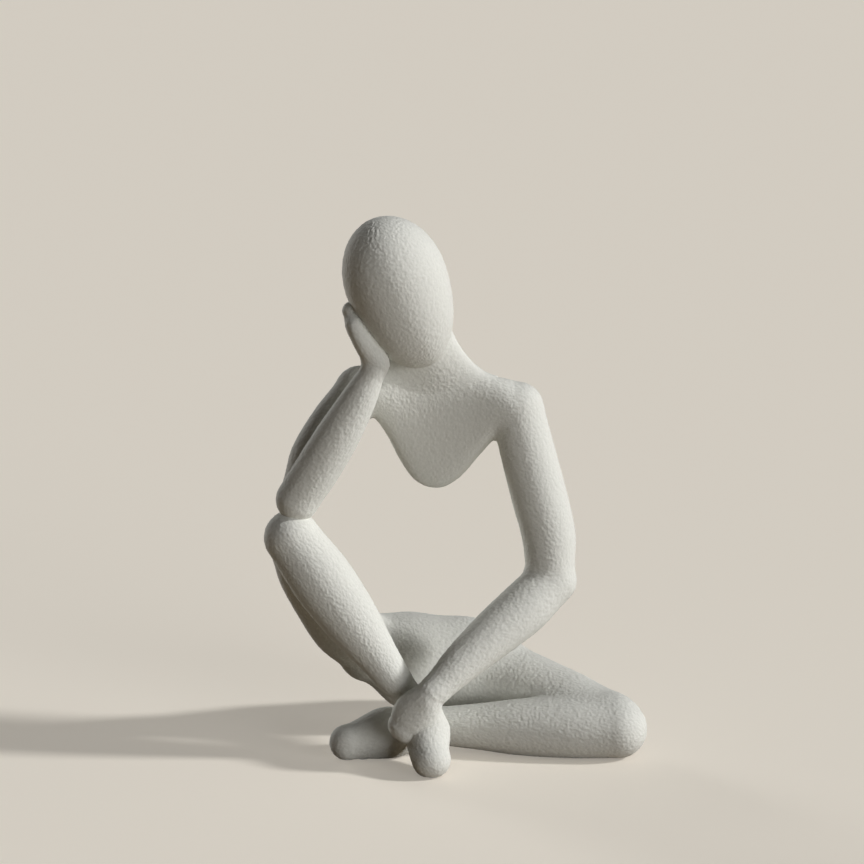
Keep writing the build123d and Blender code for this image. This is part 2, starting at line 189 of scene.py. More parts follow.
class Limb:
    """Part of the body around a line. At each share of its length the section is an oval with a half
    width, a half depth and a sideways bow, all read from evenly spaced stations; the ends are
    rounded."""

    def __init__(self, start, end, widths, depths=None, across=BACKWARD, bow=(0.0, 0.0), bow_to=BACKWARD):
        self.start = np.asarray(start, float)
        self.end = np.asarray(end, float)
        self.length = np.linalg.norm(self.end - self.start)
        self.axis = unit(self.end - self.start)
        self.across = square_to(across, self.axis)
        self.through = np.cross(self.axis, self.across)
        self.widths = np.asarray(widths, float)
        self.depths = self.widths if depths is None else np.asarray(depths, float)
        self.bow = np.asarray(bow, float)
        self.bow_to = np.asarray(bow_to, float)

    def middle(self, share):
        """Point of the centre line: the straight line plus the bow."""
        straight = self.start + self.axis * (share * self.length)[..., None]
        return straight + self.bow_to * along(self.bow, share)[..., None]

    def skin(self, points):
        """Signed height over the oval skin, and the direction away from it: the offset from the nearest
        centre is divided by the half width, half depth and end rounding, and its length less one is
        scaled back."""
        share = np.clip((points - self.start) @ self.axis / self.length, 0.0, 1.0)
        offset = points - self.middle(share)
        width = along(self.widths, share)
        depth = along(self.depths, share)
        rounding = np.minimum(width, depth)
        x = offset @ self.across / width
        y = offset @ self.through / depth
        z = offset @ self.axis / rounding
        ratio = np.sqrt(x * x + y * y + z * z) + TINY
        away = ((x / width)[..., None] * self.across + (y / depth)[..., None] * self.through
                + (z / rounding)[..., None] * self.axis)
        return (ratio - 1) * rounding, unit(away)


class Fillet:
    """Rounding in the corner between two limbs: one size everywhere, or another size around a bend, to
    which it changes as a bell curve of the distance from the bend."""

    def __init__(self, one, other, size, bend=None, bend_size=0.0, spread=1.0):
        self.one = one
        self.other = other
        self.size = size
        self.bend = bend
        self.bend_size = bend_size
        self.spread = spread

    def size_at(self, points):
        """Size of the rounding at each point."""
        if self.bend is None:
            return self.size
        nearness = np.exp(-np.sum((points - self.bend) ** 2, axis=-1) / self.spread ** 2)
        return self.size + (self.bend_size - self.size) * nearness


def fill(one, other, size, cover=0.0):
    """Height of the fillet between two skins: a parabola where their heights come near each other. Its
    width is the size where they cross squarely and shrinks to nothing where both face the same way. It
    fades under the cover of a third skin."""
    turn = np.clip(1 - np.sum(one[1] * other[1], axis=-1), 0.0, 1.0)
    width = size * np.sqrt(turn) + TINY
    near = np.clip(1 - (np.abs(one[0] - other[0]) + cover) / width, 0.0, 1.0)
    return width / 4 * near * near


def blended(limbs, fillets):
    """Height over limbs that grow together: the lowest of their own heights, lowered by each fillet. A
    fillet may lean on a limb of another piece, where the two are folded together."""
    needed = dict.fromkeys([*limbs, *(each.one for each in fillets), *(each.other for each in fillets)])

    def height(points):
        skins = {limb: limb.skin(points) for limb in needed}
        lowest = np.min([skins[limb][0] for limb in limbs], axis=0)
        filled = 0.0
        for each in fillets:
            own = [skins[limb][0] for limb in (each.one, each.other) if limb in limbs]
            cover = np.min(own, axis=0) - lowest
            filled = filled + fill(skins[each.one], skins[each.other], each.size_at(points), cover)
        return lowest - filled

    return height


def head_height(points):
    """Signed height over the egg: two half ellipsoids that share their widest circle."""
    offset = points - HEAD_MIDDLE
    rise = offset @ HEAD_UP
    around = np.linalg.norm(offset - rise[..., None] * HEAD_UP, axis=-1)
    length = np.where(rise > 0, HEAD_CROWN, HEAD_CHIN)
    return (np.sqrt((around / HEAD_RADIUS) ** 2 + (rise / length) ** 2) - 1) * HEAD_RADIUS


# Limbs of the upper body, stations from the start to the end
CHEST = Limb(RIGHT_SHOULDER, LEFT_SHOULDER, (CHEST_UPPER - CHEST_LOWER) / 2, CHEST_THICKNESS,
             across=CHEST_UP, bow=(CHEST_UPPER + CHEST_LOWER) / 2,
             bow_to=square_to(CHEST_UP, LEFT_SHOULDER - RIGHT_SHOULDER))
NECK = Limb(NECK_BASE, NECK_TOP, NECK_WIDTHS, NECK_DEPTHS, across=RIGHTWARD)
RIGHT_UPPER_ARM = Limb(RIGHT_SHOULDER, RIGHT_ELBOW,
                       (RIGHT_SHOULDER_RADIUS, 11.3, 11.2, RIGHT_ELBOW_RADIUS - FOLD_TUCK),
                       bow=(0.0, 2.2, 2.5, 0.0), bow_to=(-0.8, 0.0, 0.6))
LEFT_UPPER_ARM = Limb(LEFT_SHOULDER, LEFT_ELBOW,
                      (LEFT_SHOULDER_RADIUS, 12.4, 12.6, 12.2, LEFT_ELBOW_RADIUS),
                      bow=(0.0, 0.7, 1.8, 2.6, 0.0), bow_to=(0.98, 0.0, 0.17))
RIGHT_FOREARM = Limb(RIGHT_ELBOW, RIGHT_WRIST, (RIGHT_ELBOW_RADIUS, 10.1, 9.6, 7.8, RIGHT_WRIST_RADIUS),
                     bow=(0.0, 0.7, 1.0, 0.8, 0.0), bow_to=(0.86, 0.0, -0.5))
LEFT_FOREARM = Limb(LEFT_ELBOW, LEFT_WRIST, (LEFT_ELBOW_RADIUS, 11.9, 10.8, 8.9, LEFT_WRIST_RADIUS),
                    bow=(0.0, -0.5, 0.3, 0.7, 0.0), bow_to=(-0.67, 0.0, 0.74))
RIGHT_HAND = Limb(RIGHT_WRIST, RIGHT_FINGERTIP, (RIGHT_WRIST_RADIUS, 6.8, 9.0, 10.0, 9.6, 6.0),
                  (RIGHT_WRIST_RADIUS, 5.6, 5.6, 5.5, 5.2, 4.2), across=(0.2, 1.0, 0.1))
LEFT_HAND = Limb(LEFT_WRIST, LEFT_FINGERTIP, (LEFT_WRIST_RADIUS, 8.4, 9.8, 10.2, 9.6, 8.2),
                 (LEFT_WRIST_RADIUS, 7.2, 7.0, 6.8, 6.5, 6.0), across=(1.0, -0.3, -0.6))

# Limbs of the lower body
RIGHT_THIGH = Limb(RIGHT_HIP, RIGHT_KNEE,
                   (RIGHT_HIP_RADIUS, 15.8, 15.6, 14.9, RIGHT_KNEE_RADIUS - FOLD_TUCK),
                   bow=(0.0, 1.4, 1.7, 1.1, 0.0), bow_to=(-0.9, 0.0, -0.4))
RIGHT_HIP_PLANE = unit(unit(LEFT_HIP - RIGHT_HIP) - RIGHT_THIGH.axis)
PELVIS = Limb(RIGHT_HIP, LEFT_HIP, (16.4, 22.3, 24.0, LEFT_HIP_RADIUS), bow=(3.4, 0.8, 0.0, 0.0),
              bow_to=square_to(UPWARD, RIGHT_HIP_PLANE))
LEFT_THIGH_END = LEFT_KNEE + (-4.4, 7.0, 2.6)
LEFT_THIGH = Limb(LEFT_HIP, LEFT_THIGH_END, (LEFT_HIP_RADIUS, 20.0, 17.6, 15.6, 13.0))
RIGHT_SHIN = Limb(RIGHT_KNEE, RIGHT_ANKLE, (RIGHT_KNEE_RADIUS, 14.1, 12.5, 8.8, RIGHT_ANKLE_RADIUS))
LEFT_SHIN = Limb(LEFT_KNEE, LEFT_ANKLE, (LEFT_KNEE_RADIUS, 14.2, 13.0, 10.2, LEFT_ANKLE_RADIUS))
RIGHT_FOOT = Limb(RIGHT_ANKLE, RIGHT_TOE, (RIGHT_ANKLE_RADIUS, 10.4, RIGHT_TOE_RADIUS),
                  bow=(0.0, 2.2, 0.0), bow_to=RIGHTWARD)
LEFT_FOOT = Limb(LEFT_ANKLE, LEFT_TOE, (LEFT_ANKLE_RADIUS, 12.3, LEFT_TOE_RADIUS))


def joint_plane(before, after):
    """Direction through the joint of two limbs in a row: half way between their own directions."""
    return unit(before.axis + after.axis)


# Joint planes: the shoulder planes stand more upright than half way, so that they pass beside the chest
SHOULDER_SQUARENESS = 2.0
RIGHT_SHOULDER_PLANE = unit(CHEST.axis * SHOULDER_SQUARENESS - RIGHT_UPPER_ARM.axis)
LEFT_SHOULDER_PLANE = unit(CHEST.axis * SHOULDER_SQUARENESS + LEFT_UPPER_ARM.axis)
LEFT_ELBOW_PLANE = joint_plane(LEFT_UPPER_ARM, LEFT_FOREARM)
RIGHT_WRIST_PLANE = joint_plane(RIGHT_FOREARM, RIGHT_HAND)
LEFT_WRIST_PLANE = joint_plane(LEFT_FOREARM, LEFT_HAND)
LEFT_HIP_PLANE = joint_plane(PELVIS, LEFT_THIGH)
RIGHT_ANKLE_PLANE = joint_plane(RIGHT_SHIN, RIGHT_FOOT)
LEFT_ANKLE_PLANE = joint_plane(LEFT_SHIN, LEFT_FOOT)

# Fillets at the joints
RIGHT_SHOULDER_FILLET = Fillet(CHEST, RIGHT_UPPER_ARM, 3.0)
LEFT_SHOULDER_FILLET = Fillet(CHEST, LEFT_UPPER_ARM, 5.0)
LEFT_ELBOW_FILLET = Fillet(LEFT_UPPER_ARM, LEFT_FOREARM, 5.0)
RIGHT_WRIST_FILLET = Fillet(RIGHT_FOREARM, RIGHT_HAND, 6.0)
LEFT_WRIST_FILLET = Fillet(LEFT_FOREARM, LEFT_HAND, 6.0)
RIGHT_HIP_FILLET = Fillet(PELVIS, RIGHT_THIGH, 8.0)
LEFT_HIP_FILLET = Fillet(PELVIS, LEFT_THIGH, 14.0)
RIGHT_ANKLE_FILLET = Fillet(RIGHT_SHIN, RIGHT_FOOT, 6.0)
LEFT_ANKLE_FILLET = Fillet(LEFT_SHIN, LEFT_FOOT, 6.0)

# Creases where limbs are folded together or rest on each other, rounder near the bend
RIGHT_ELBOW_FOLD = Fillet(RIGHT_UPPER_ARM, RIGHT_FOREARM, 0.8, RIGHT_ELBOW, 3.0, 9.0)
RIGHT_KNEE_FOLD = Fillet(RIGHT_THIGH, RIGHT_SHIN, 1.4, RIGHT_KNEE, 5.0, 14.0)
LEFT_KNEE_FOLD = Fillet(LEFT_THIGH, LEFT_SHIN, 2.0, LEFT_KNEE, 16.0, 28.0)
HAND_REST_FOLD = Fillet(LEFT_HAND, RIGHT_FOOT, 1.0, posed(-5.0, -30.0, 26.0), 8.0, 9.0)

# Search along a ray: how far it goes, in how many equal steps, and how often the last step is halved
REACH = 46.0
MARCH_STEPS = 25
HALVINGS = 14
PROBE = 0.05


def reach(height, origins, directions, far=REACH):
    """Distance along each ray at which the height first turns positive: a march in equal steps, then
    halving."""
    steps = np.linspace(0.0, far, MARCH_STEPS)
    low = np.zeros(origins.shape[:-1])
    still_inside = np.ones(origins.shape[:-1], bool)
    for step in steps[1:]:
        still_inside &= height(origins + directions * step) < 0
        low = np.where(still_inside, step, low)
    high = np.minimum(low + steps[1], far)
    for _ in range(HALVINGS):
        middle = (low + high) / 2
        inside = height(origins + directions * middle[..., None]) < 0
        low = np.where(inside, middle, low)
        high = np.where(inside, high, middle)
    return (low + high) / 2


def outward(height, points):
    """Direction in which the height grows fastest, from differences between points a little to each
    side."""
    slope = [height(points + PROBE * step) - height(points - PROBE * step) for step in np.eye(3)]
    return unit(np.stack(slope, axis=-1))


# Whole-number mixing that gives every place its own random number, the same in each run
PLACE_FACTORS = (73856093, 19349663, 83492791)
SEED_FACTOR = 2654435761
FIRST_MIX, SECOND_MIX = 2246822519, 3266489917
FIRST_SHIFT, SECOND_SHIFT, LAST_SHIFT = 15, 13, 16
LOW_BITS = 0xFFFFFFFF
HALF_RANGE = 2147483648.0


def speckle(points, seed):
    """Random numbers between -1 and 1 at whole-number places, eased between them in all three
    directions."""
    base = np.floor(points)
    part = points - base
    part = part * part * part * (part * (part * 6 - 15) + 10)
    cell = base.astype(np.int64)
    total = 0.0
    for corner in np.ndindex(2, 2, 2):
        place = (cell + corner) * PLACE_FACTORS
        mixed = (place[..., 0] ^ place[..., 1] ^ place[..., 2]) + seed * SEED_FACTOR
        mixed = (mixed ^ (mixed >> FIRST_SHIFT)) * FIRST_MIX & LOW_BITS
        mixed = (mixed ^ (mixed >> SECOND_SHIFT)) * SECOND_MIX & LOW_BITS
        mixed = mixed ^ (mixed >> LAST_SHIFT)
        weight = np.prod(np.where(corner, part, 1 - part), axis=-1)
        total = total + weight * (mixed / HALF_RANGE - 1)
    return total


# The finer bumps of the grain, against the coarse ones
FINE_GRAIN_HEIGHT = 0.6
FINE_GRAIN_SIZE = 1.9
COARSE_SEED, FINE_SEED = 1, 2


def grain(points, settings):
    """Height of the sandstone grain: coarse random bumps plus finer and lower ones."""
    coarse = points * MILLIMETRE / settings.grain_size
    height = speckle(coarse, COARSE_SEED) + FINE_GRAIN_HEIGHT * speckle(coarse * FINE_GRAIN_SIZE, FINE_SEED)
    return height * settings.grain_depth / MILLIMETRE


def grained(height, points, settings, share=1.0):
    """The points lifted by the grain, or a share of it, along the skin's outward direction."""
    return points + outward(height, points) * (grain(points, settings) * share)[..., None]


# Corners of a face in the rows, and of one in the fans that close the ends
QUAD_CORNERS = 4
FAN_CORNERS = 3


def grid_faces(rows, columns):
    """Faces of a closed tube of rows, with a fan to one extra point at each end."""
    row = np.arange(rows - 1)[:, None] * columns
    column = np.arange(columns)[None, :]
    beside = (column + 1) % columns
    quads = np.stack([row + column, row + beside, row + columns + beside, row + columns + column], axis=-1)
    first, last = rows * columns, rows * columns + 1
    column, beside = column[0], beside[0]
    base = (rows - 1) * columns
    start_fan = np.stack([np.full(columns, first), beside, column], axis=-1)
    end_fan = np.stack([np.full(columns, last), base + column, base + beside], axis=-1)
    return quads.reshape(-1, QUAD_CORNERS), np.concatenate([start_fan, end_fan])


# Rows of faces against the cell size: closer on the chest, on rounded ends and on the head
CHEST_ROWS = 1.5
END_ROWS = 1.5
FEWEST_END_ROWS = 3
HEAD_ROWS = 1.45
NECK_ROWS = 1.1
DROOP_ROWS = 34.4
CHEST_COLUMNS = 288
ARM_COLUMNS = 208
LEG_COLUMNS = 288

# How late the section planes turn towards the joint planes: the power of the share along the limb
LIMB_SWING = 3
CHEST_SWING = 6


def section_normals(limb, share, start_plane, end_plane, swing):
    """Directions square to the sections: the limb's own, turning to each joint plane near its end."""
    to_start = 0.0 if start_plane is None else start_plane - limb.axis
    to_end = 0.0 if end_plane is None else end_plane - limb.axis
    return unit(limb.axis + to_start * ((1 - share) ** swing)[:, None] + to_end * (share ** swing)[:, None])


def section_axes(normals):
    """Two directions in each section plane, the first as near to the chest's backward direction as can
    be."""
    first = unit(CHEST_BACK - normals * (normals @ CHEST_BACK)[:, None])
    return first, np.cross(normals, first)


def rounded_end(end, axis, height, cell):
    """Centres of the rows that close an end: spaced as the sine of a quarter turn up to the tip."""
    tip = reach(height, end, axis)
    turn = np.linspace(0.0, math.pi / 2, int(tip * END_ROWS / cell) + FEWEST_END_ROWS)[1:-1]
    return end + axis * (tip * np.sin(turn))[:, None], end + axis * tip


def floor_distance(origins, directions):
    """Distance along each ray to the level at which the castings are ground flat; far for rays that
    rise."""
    falling = directions[..., 2] < -TINY
    drop = np.where(falling, directions[..., 2], -1.0)
    return np.where(falling, np.maximum((GROUND_CLEARANCE - origins[..., 2]) / drop, 0.0), REACH)


def carried_skin(limb, height, settings, columns, start_plane=None, end_plane=None, stretched=False):
    """Skin carried along a limb: rays fan out in section planes that turn from one joint plane to the
    other, and each is as long as the blended height allows. An end without a joint plane is rounded. On
    a stretched limb the rays gather where the section is long."""
    cell = settings.cell / MILLIMETRE
    share = np.linspace(0.0, 1.0, int(limb.length / cell * (CHEST_ROWS if stretched else 1.0)))
    centres = limb.middle(share)
    normals = section_normals(limb, share, start_plane, end_plane, CHEST_SWING if stretched else LIMB_SWING)
    first_end, last_end = centres[0], centres[-1]
    if start_plane is None:
        cap, first_end = rounded_end(first_end, -limb.axis, height, cell)
        centres = np.concatenate([cap[::-1], centres])
        normals = np.concatenate([np.tile(limb.axis, (len(cap), 1)), normals])
    if end_plane is None:
        cap, last_end = rounded_end(last_end, limb.axis, height, cell)
        centres = np.concatenate([centres, cap])
        normals = np.concatenate([normals, np.tile(limb.axis, (len(cap), 1))])
    across, through = section_axes(normals)
    angle = np.linspace(0.0, 2 * math.pi, columns, endpoint=False)
    aspect = along(limb.depths, share) / along(limb.widths, share) if stretched else np.ones(len(centres))
    directions = unit((aspect[:, None] * np.cos(angle))[..., None] * across[:, None, :]
                      + np.sin(angle)[None, :, None] * through[:, None, :])
    origins = np.broadcast_to(centres[:, None, :], directions.shape)
    distance = reach(height, origins, directions)
    to_floor = floor_distance(origins, directions)
    points = origins + directions * np.minimum(distance, to_floor)[..., None]
    points = grained(height, points, settings, np.where(to_floor < distance, 0.0, 1.0))
    points[..., 2] = np.maximum(points[..., 2], GROUND_CLEARANCE)
    vertices = np.concatenate([points.reshape(-1, 3), [first_end, last_end]])
    return vertices, grid_faces(len(centres), columns)


def egg_skin(settings):
    """The head: an egg turned about its leaning axis, radius sin and length cos of one angle, the other
    angle goes round; the grain lifts each point along the egg's outward direction."""
    cell = settings.cell / MILLIMETRE
    columns = int(2 * math.pi * HEAD_RADIUS / cell)
    rows = int((HEAD_CROWN + HEAD_CHIN) * HEAD_ROWS / cell)
    fall = np.linspace(0.0, math.pi, rows + 2)[1:-1][:, None]
    angle = np.linspace(0.0, 2 * math.pi, columns, endpoint=False)[None, :]
    across = unit(np.cross(HEAD_UP, BACKWARD))
    through = np.cross(HEAD_UP, across)
    ring = HEAD_RADIUS * np.sin(fall)
    rise = np.where(fall < math.pi / 2, HEAD_CROWN, HEAD_CHIN) * np.cos(fall)
    points = (HEAD_MIDDLE + (ring * np.cos(angle))[..., None] * across
              - (ring * np.sin(angle))[..., None] * through + rise[..., None] * HEAD_UP)
    points = grained(head_height, points, settings)
    crown = HEAD_MIDDLE + HEAD_UP * HEAD_CROWN
    chin = HEAD_MIDDLE - HEAD_UP * HEAD_CHIN
    return np.concatenate([points.reshape(-1, 3), [crown, chin]]), grid_faces(rows, columns)


def neck_height(chest):
    """Height over the neck with its flare: the lower of the neck and the sunken chest, less the fillet
    of both."""
    def height(points):
        own = NECK.skin(points)
        below = chest(points) + NECK_SINK
        return np.minimum(own[0], below) - fill(own, (below, CHEST.skin(points)[1]), NECK_FLARE)

    return height


def neck_skin(height, settings, columns):
    """The neck: rays leave its axis squarely down to the foot of the neck, then fan downwards from one
    point, so that the skirt lies on the shoulders and ends under their skin."""
    cell = settings.cell / MILLIMETRE
    straight = int(NECK.length / cell * (1.0 - NECK_FOOT) * NECK_ROWS)
    fanned = int(NECK_DROOP * DROOP_ROWS / cell)
    share = np.concatenate([np.linspace(1.0, NECK_FOOT, straight), np.full(fanned - 1, NECK_FOOT)])
    droop = np.concatenate([np.zeros(straight), np.linspace(0.0, NECK_DROOP, fanned)[1:]])
    centres = NECK.middle(share)
    down = -NECK.axis
    across, through = section_axes(np.tile(down, (len(centres), 1)))
    angle = np.linspace(0.0, 2 * math.pi, columns, endpoint=False)[None, :, None]
    flat = np.cos(angle) * across[:, None, :] + np.sin(angle) * through[:, None, :]
    directions = flat * np.cos(droop)[:, None, None] + down * np.sin(droop)[:, None, None]
    origins = np.broadcast_to(centres[:, None, :], directions.shape)
    points = origins + directions * reach(height, origins, directions, NECK_REACH)[..., None]
    points = grained(height, points, settings)
    vertices = np.concatenate([points.reshape(-1, 3), [centres[0], centres[-1] + down * NECK_PLUG]])
    return vertices, grid_faces(len(centres), columns)


SHARP_EDGE = math.radians(65.0)


def mesh_of(name, skins):
    """One smooth mesh from the points, quads and fans of several skins."""
    sizes = [len(points) for points, _ in skins]
    starts = np.cumsum([0] + sizes[:-1])
    vertices = np.concatenate([points for points, _ in skins]) * MILLIMETRE
    quads = np.concatenate([faces[0] + start for (_, faces), start in zip(skins, starts)])
    fans = np.concatenate([faces[1] + start for (_, faces), start in zip(skins, starts)])
    corners = np.concatenate([quads.ravel(), fans.ravel()]).astype(np.int32)
    first_corners = np.concatenate([np.arange(len(quads)) * QUAD_CORNERS,
                                    quads.size + np.arange(len(fans)) * FAN_CORNERS])
    mesh = bpy.data.meshes.new(name)
    mesh.vertices.add(len(vertices))
    mesh.vertices.foreach_set("co", vertices.astype(np.float32).ravel())
    mesh.loops.add(len(corners))
    mesh.loops.foreach_set("vertex_index", corners)
    mesh.polygons.add(len(first_corners))
    mesh.polygons.foreach_set("loop_start", first_corners.astype(np.int32))
    mesh.update(calc_edges=True)
    mesh.validate()
    mesh.polygons.foreach_set("use_smooth", np.ones(len(mesh.polygons), bool))
    mesh.set_sharp_from_angle(angle=SHARP_EDGE)
    return mesh


def make_piece(context, node, skins):
    """One casting: the skins become a stone piece that takes the place of its CAD node."""
    mesh = mesh_of(node, skins)
    mesh.materials.append(stone_of(context))
    piece = bpy.data.objects.new(node + "_casting", mesh)
    context.scene.collection.objects.link(piece)
    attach(piece, "root")
    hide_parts(node)


def cast(context, node, limb, height, columns, start_plane=None, end_plane=None):
    """One casting that is a single limb."""
    skin = carried_skin(limb, height, settings_of(context), columns, start_plane, end_plane)
    make_piece(context, node, [skin])


# Finish of the stone: fleck size, tone and bump
STONE_ROUGHNESS = 0.92
STONE_SHEEN = 0.25
FLECK_SCALE = 900.0
FLECK_DETAIL = 3.0
FLECK_DARK = 0.94
FLECK_FROM, FLECK_TO = 0.3, 0.6
FLECK_BUMP = 0.6
FLECK_HEIGHT = 0.0002


def stone(settings):
    """Matt off-white sandstone: a pale colour that a fine noise darkens a little, and a fine noise
    bump."""
    material = bpy.data.materials.new("Sandstone")
    material.use_nodes = True
    nodes, links = material.node_tree.nodes, material.node_tree.links
    surface = nodes["Principled BSDF"]
    surface.inputs["Roughness"].default_value = STONE_ROUGHNESS
    surface.inputs["Specular IOR Level"].default_value = STONE_SHEEN
    place = nodes.new("ShaderNodeTexCoord")
    fleck = nodes.new("ShaderNodeTexNoise")
    fleck.inputs["Scale"].default_value = FLECK_SCALE
    fleck.inputs["Detail"].default_value = FLECK_DETAIL
    links.new(place.outputs["Object"], fleck.inputs["Vector"])
    tone = nodes.new("ShaderNodeValToRGB")
    dark, pale = tone.color_ramp.elements
    dark.position = FLECK_FROM
    dark.color = (*(part * FLECK_DARK for part in settings.stone_colour), 1.0)
    pale.position = FLECK_TO
    pale.color = (*settings.stone_colour, 1.0)
    links.new(fleck.outputs["Fac"], tone.inputs["Fac"])
    links.new(tone.outputs["Color"], surface.inputs["Base Color"])
    bump = nodes.new("ShaderNodeBump")
    bump.inputs["Strength"].default_value = FLECK_BUMP
    bump.inputs["Distance"].default_value = FLECK_HEIGHT
    links.new(fleck.outputs["Fac"], bump.inputs["Height"])
    links.new(bump.outputs["Normal"], surface.inputs["Normal"])
    return material


def plain_material(name, colour, roughness, metallic=0.0):
    """One even colour with one roughness."""
    material = bpy.data.materials.new(name)
    material.use_nodes = True
    surface = material.node_tree.nodes["Principled BSDF"]
    surface.inputs["Base Color"].default_value = (*colour, 1.0)
    surface.inputs["Roughness"].default_value = roughness
    surface.inputs["Metallic"].default_value = metallic
    return material


class ThinkerSettings(bpy.types.PropertyGroup):
    """Sizes and colours of the ornament."""
    cell: FloatProperty(name="Mesh cell", description="Length of one face of the skin", default=0.00042,
                        unit="LENGTH")
    grain_size: FloatProperty(name="Grain size", description="Width of one sandstone bump", default=0.0010,
                              unit="LENGTH")
    grain_depth: FloatProperty(name="Grain depth", description="Height of a sandstone bump", default=0.00010,
                               unit="LENGTH")
    stone_colour: FloatVectorProperty(name="Stone colour", description="Colour of the castings",
                                      subtype="COLOR", default=(0.75, 0.75, 0.70))
    steel_colour: FloatVectorProperty(name="Steel colour", description="Colour of the dowels",
                                      subtype="COLOR", default=(0.55, 0.55, 0.56))
    rubber_colour: FloatVectorProperty(name="Rubber colour", description="Colour of the bumpers",
                                       subtype="COLOR", default=(0.62, 0.62, 0.60))
    floor_colour: FloatVectorProperty(name="Floor colour",
                                      description="Pale colour in which the floor is seen",
                                      subtype="COLOR", default=(0.74, 0.69, 0.61))
    bounce_colour: FloatVectorProperty(name="Bounce colour",
                                       description="Colour of the floor for light it returns",
                                       subtype="COLOR", default=(0.28, 0.22, 0.15))


def settings_of(context):
    """The ornament's settings in this scene."""
    return context.scene.thinker


def stone_of(context):
    """The stone material, made once."""
    return bpy.data.materials.get("Sandstone") or stone(settings_of(context))


class ORNAMENT_OT_head(bpy.types.Operator):
    """Make the faceless egg-shaped head"""
    bl_idname = "ornament.head"
    bl_label = "Head"

    def execute(self, context):
        make_piece(context, "head", [egg_skin(settings_of(context))])
        return {"FINISHED"}


class ORNAMENT_OT_torso(bpy.types.Operator):
    """Make the shoulders with the hanging chest and the neck"""
    bl_idname = "ornament.torso"
    bl_label = "Torso"

    def execute(self, context):
        settings = settings_of(context)
        chest = blended([CHEST, RIGHT_UPPER_ARM, LEFT_UPPER_ARM],
                        [RIGHT_SHOULDER_FILLET, LEFT_SHOULDER_FILLET])
        body = carried_skin(CHEST, chest, settings, CHEST_COLUMNS, RIGHT_SHOULDER_PLANE, LEFT_SHOULDER_PLANE,
                            stretched=True)
        neck = neck_skin(neck_height(chest), settings, ARM_COLUMNS)
        make_piece(context, "torso", [body, neck])
        return {"FINISHED"}


class ORNAMENT_OT_arms(bpy.types.Operator):
    """Make the upper arms and the forearms"""
    bl_idname = "ornament.arms"
    bl_label = "Arms"

    def execute(self, context):
        height = blended([RIGHT_UPPER_ARM, CHEST], [RIGHT_SHOULDER_FILLET, RIGHT_ELBOW_FOLD])
        cast(context, "right_upper_arm", RIGHT_UPPER_ARM, height, ARM_COLUMNS, -RIGHT_SHOULDER_PLANE)
        height = blended([LEFT_UPPER_ARM, CHEST, LEFT_FOREARM], [LEFT_SHOULDER_FILLET, LEFT_ELBOW_FILLET])
        cast(context, "left_upper_arm", LEFT_UPPER_ARM, height, ARM_COLUMNS,
             LEFT_SHOULDER_PLANE, LEFT_ELBOW_PLANE)
        height = blended([RIGHT_FOREARM, RIGHT_HAND], [RIGHT_WRIST_FILLET, RIGHT_ELBOW_FOLD])
        cast(context, "right_forearm", RIGHT_FOREARM, height, ARM_COLUMNS, None, RIGHT_WRIST_PLANE)
        height = blended([LEFT_FOREARM, LEFT_UPPER_ARM, LEFT_HAND], [LEFT_ELBOW_FILLET, LEFT_WRIST_FILLET])
        cast(context, "left_forearm", LEFT_FOREARM, height, ARM_COLUMNS, LEFT_ELBOW_PLANE, LEFT_WRIST_PLANE)
        return {"FINISHED"}


class ORNAMENT_OT_hands(bpy.types.Operator):
    """Make the two mitten hands"""
    bl_idname = "ornament.hands"
    bl_label = "Hands"

    def execute(self, context):
        height = blended([RIGHT_HAND, RIGHT_FOREARM], [RIGHT_WRIST_FILLET])
        cast(context, "right_hand", RIGHT_HAND, height, ARM_COLUMNS, RIGHT_WRIST_PLANE)
        height = blended([LEFT_HAND, LEFT_FOREARM], [LEFT_WRIST_FILLET, HAND_REST_FOLD])
        cast(context, "left_hand", LEFT_HAND, height, ARM_COLUMNS, LEFT_WRIST_PLANE)
        return {"FINISHED"}


class ORNAMENT_OT_seat(bpy.types.Operator):
    """Make the pelvis and the two thighs"""
    bl_idname = "ornament.seat"
    bl_label = "Pelvis and thighs"

    def execute(self, context):
        height = blended([PELVIS, RIGHT_THIGH, LEFT_THIGH],
                         [RIGHT_HIP_FILLET, LEFT_HIP_FILLET, RIGHT_KNEE_FOLD, LEFT_KNEE_FOLD])
        cast(context, "pelvis", PELVIS, height, LEG_COLUMNS, RIGHT_HIP_PLANE, LEFT_HIP_PLANE)
        cast(context, "right_thigh", RIGHT_THIGH, height, LEG_COLUMNS, -RIGHT_HIP_PLANE)
        cast(context, "left_thigh", LEFT_THIGH, height, LEG_COLUMNS, LEFT_HIP_PLANE)
        return {"FINISHED"}


class ORNAMENT_OT_shins(bpy.types.Operator):
    """Make the two shins"""
    bl_idname = "ornament.shins"
    bl_label = "Shins"

    def execute(self, context):
        height = blended([RIGHT_SHIN, RIGHT_FOOT], [RIGHT_ANKLE_FILLET, RIGHT_KNEE_FOLD])
        cast(context, "right_shin", RIGHT_SHIN, height, LEG_COLUMNS, None, RIGHT_ANKLE_PLANE)
        height = blended([LEFT_SHIN, LEFT_FOOT], [LEFT_ANKLE_FILLET, LEFT_KNEE_FOLD])
        cast(context, "left_shin", LEFT_SHIN, height, LEG_COLUMNS, None, LEFT_ANKLE_PLANE)
        return {"FINISHED"}


class ORNAMENT_OT_feet(bpy.types.Operator):
    """Make the two feet"""
    bl_idname = "ornament.feet"
    bl_label = "Feet"

    def execute(self, context):
        height = blended([RIGHT_FOOT, RIGHT_SHIN], [RIGHT_ANKLE_FILLET, HAND_REST_FOLD])
        cast(context, "right_foot", RIGHT_FOOT, height, LEG_COLUMNS, RIGHT_ANKLE_PLANE)
        height = blended([LEFT_FOOT, LEFT_SHIN], [LEFT_ANKLE_FILLET])
        cast(context, "left_foot", LEFT_FOOT, height, LEG_COLUMNS, LEFT_ANKLE_PLANE)
        return {"FINISHED"}


